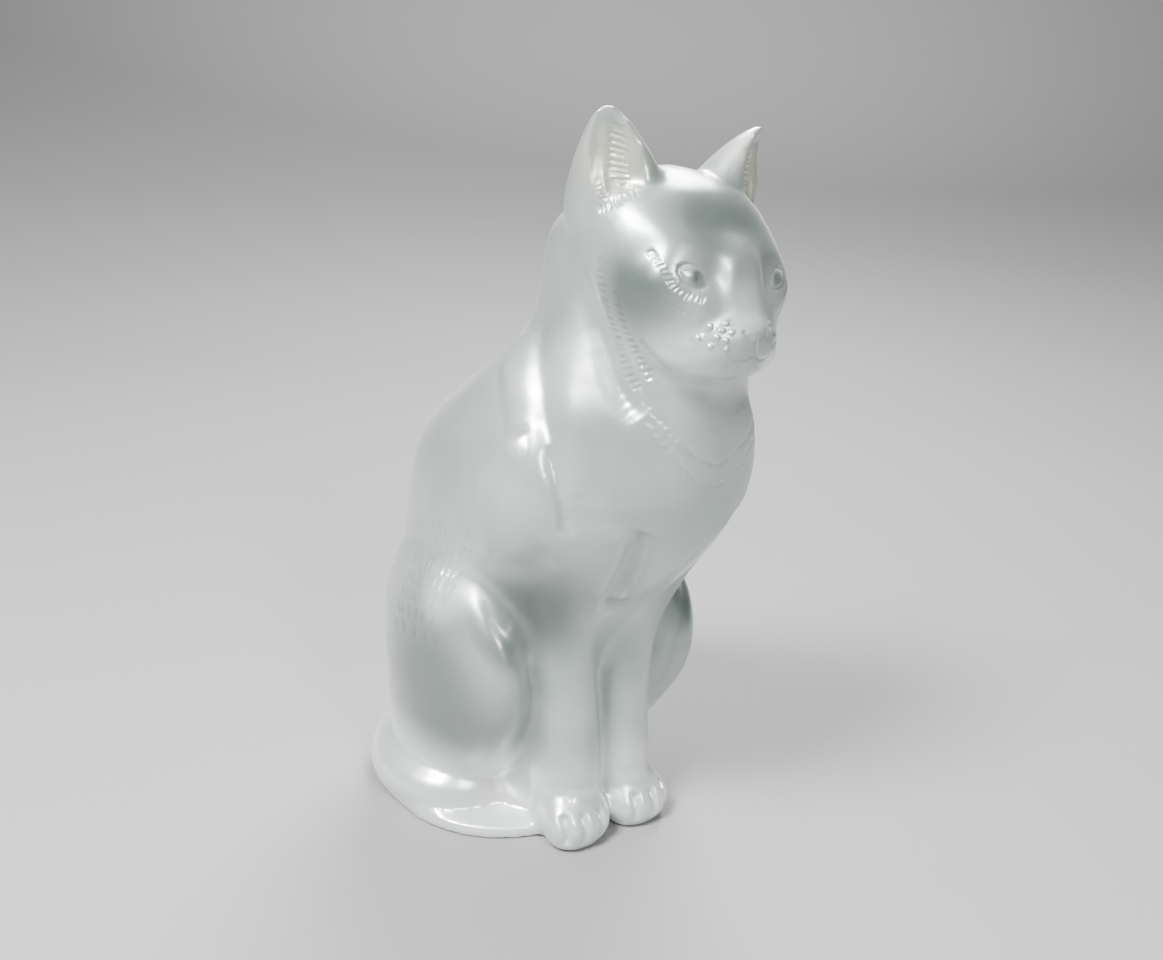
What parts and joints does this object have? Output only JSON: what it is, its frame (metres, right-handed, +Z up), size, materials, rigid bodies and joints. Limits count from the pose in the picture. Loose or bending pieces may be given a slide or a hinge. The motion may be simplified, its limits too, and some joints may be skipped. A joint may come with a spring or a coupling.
{
  "type": "seated cat figurine",
  "caption": "Seated cat figurine in satin-frosted solid crystal, upright with pricked ears, its tail wrapped round its right side, standing on its own flat underside.",
  "frame": {"origin": "middle of the bounding box, on the flat underside that the figurine stands on", "axes": "+Z up along the height; the cat faces -Y; +X is the cat's own left side"},
  "size_m": [0.098, 0.1316, 0.21],
  "materials": {
    "satin_crystal": "satin-frosted, acid-etched lead crystal with softly polished high spots"
  },
  "bodies": {
    "root": {"base": "satin_crystal", "torso": "satin_crystal", "neck": "satin_crystal", "head": "satin_crystal", "left_ear": "satin_crystal", "right_ear": "satin_crystal", "left_foreleg": "satin_crystal", "right_foreleg": "satin_crystal", "left_forepaw": "satin_crystal", "right_forepaw": "satin_crystal", "left_haunch": "satin_crystal", "right_haunch": "satin_crystal", "left_hind_foot": "satin_crystal", "tail": "satin_crystal"}
  },
  "joints": []
}
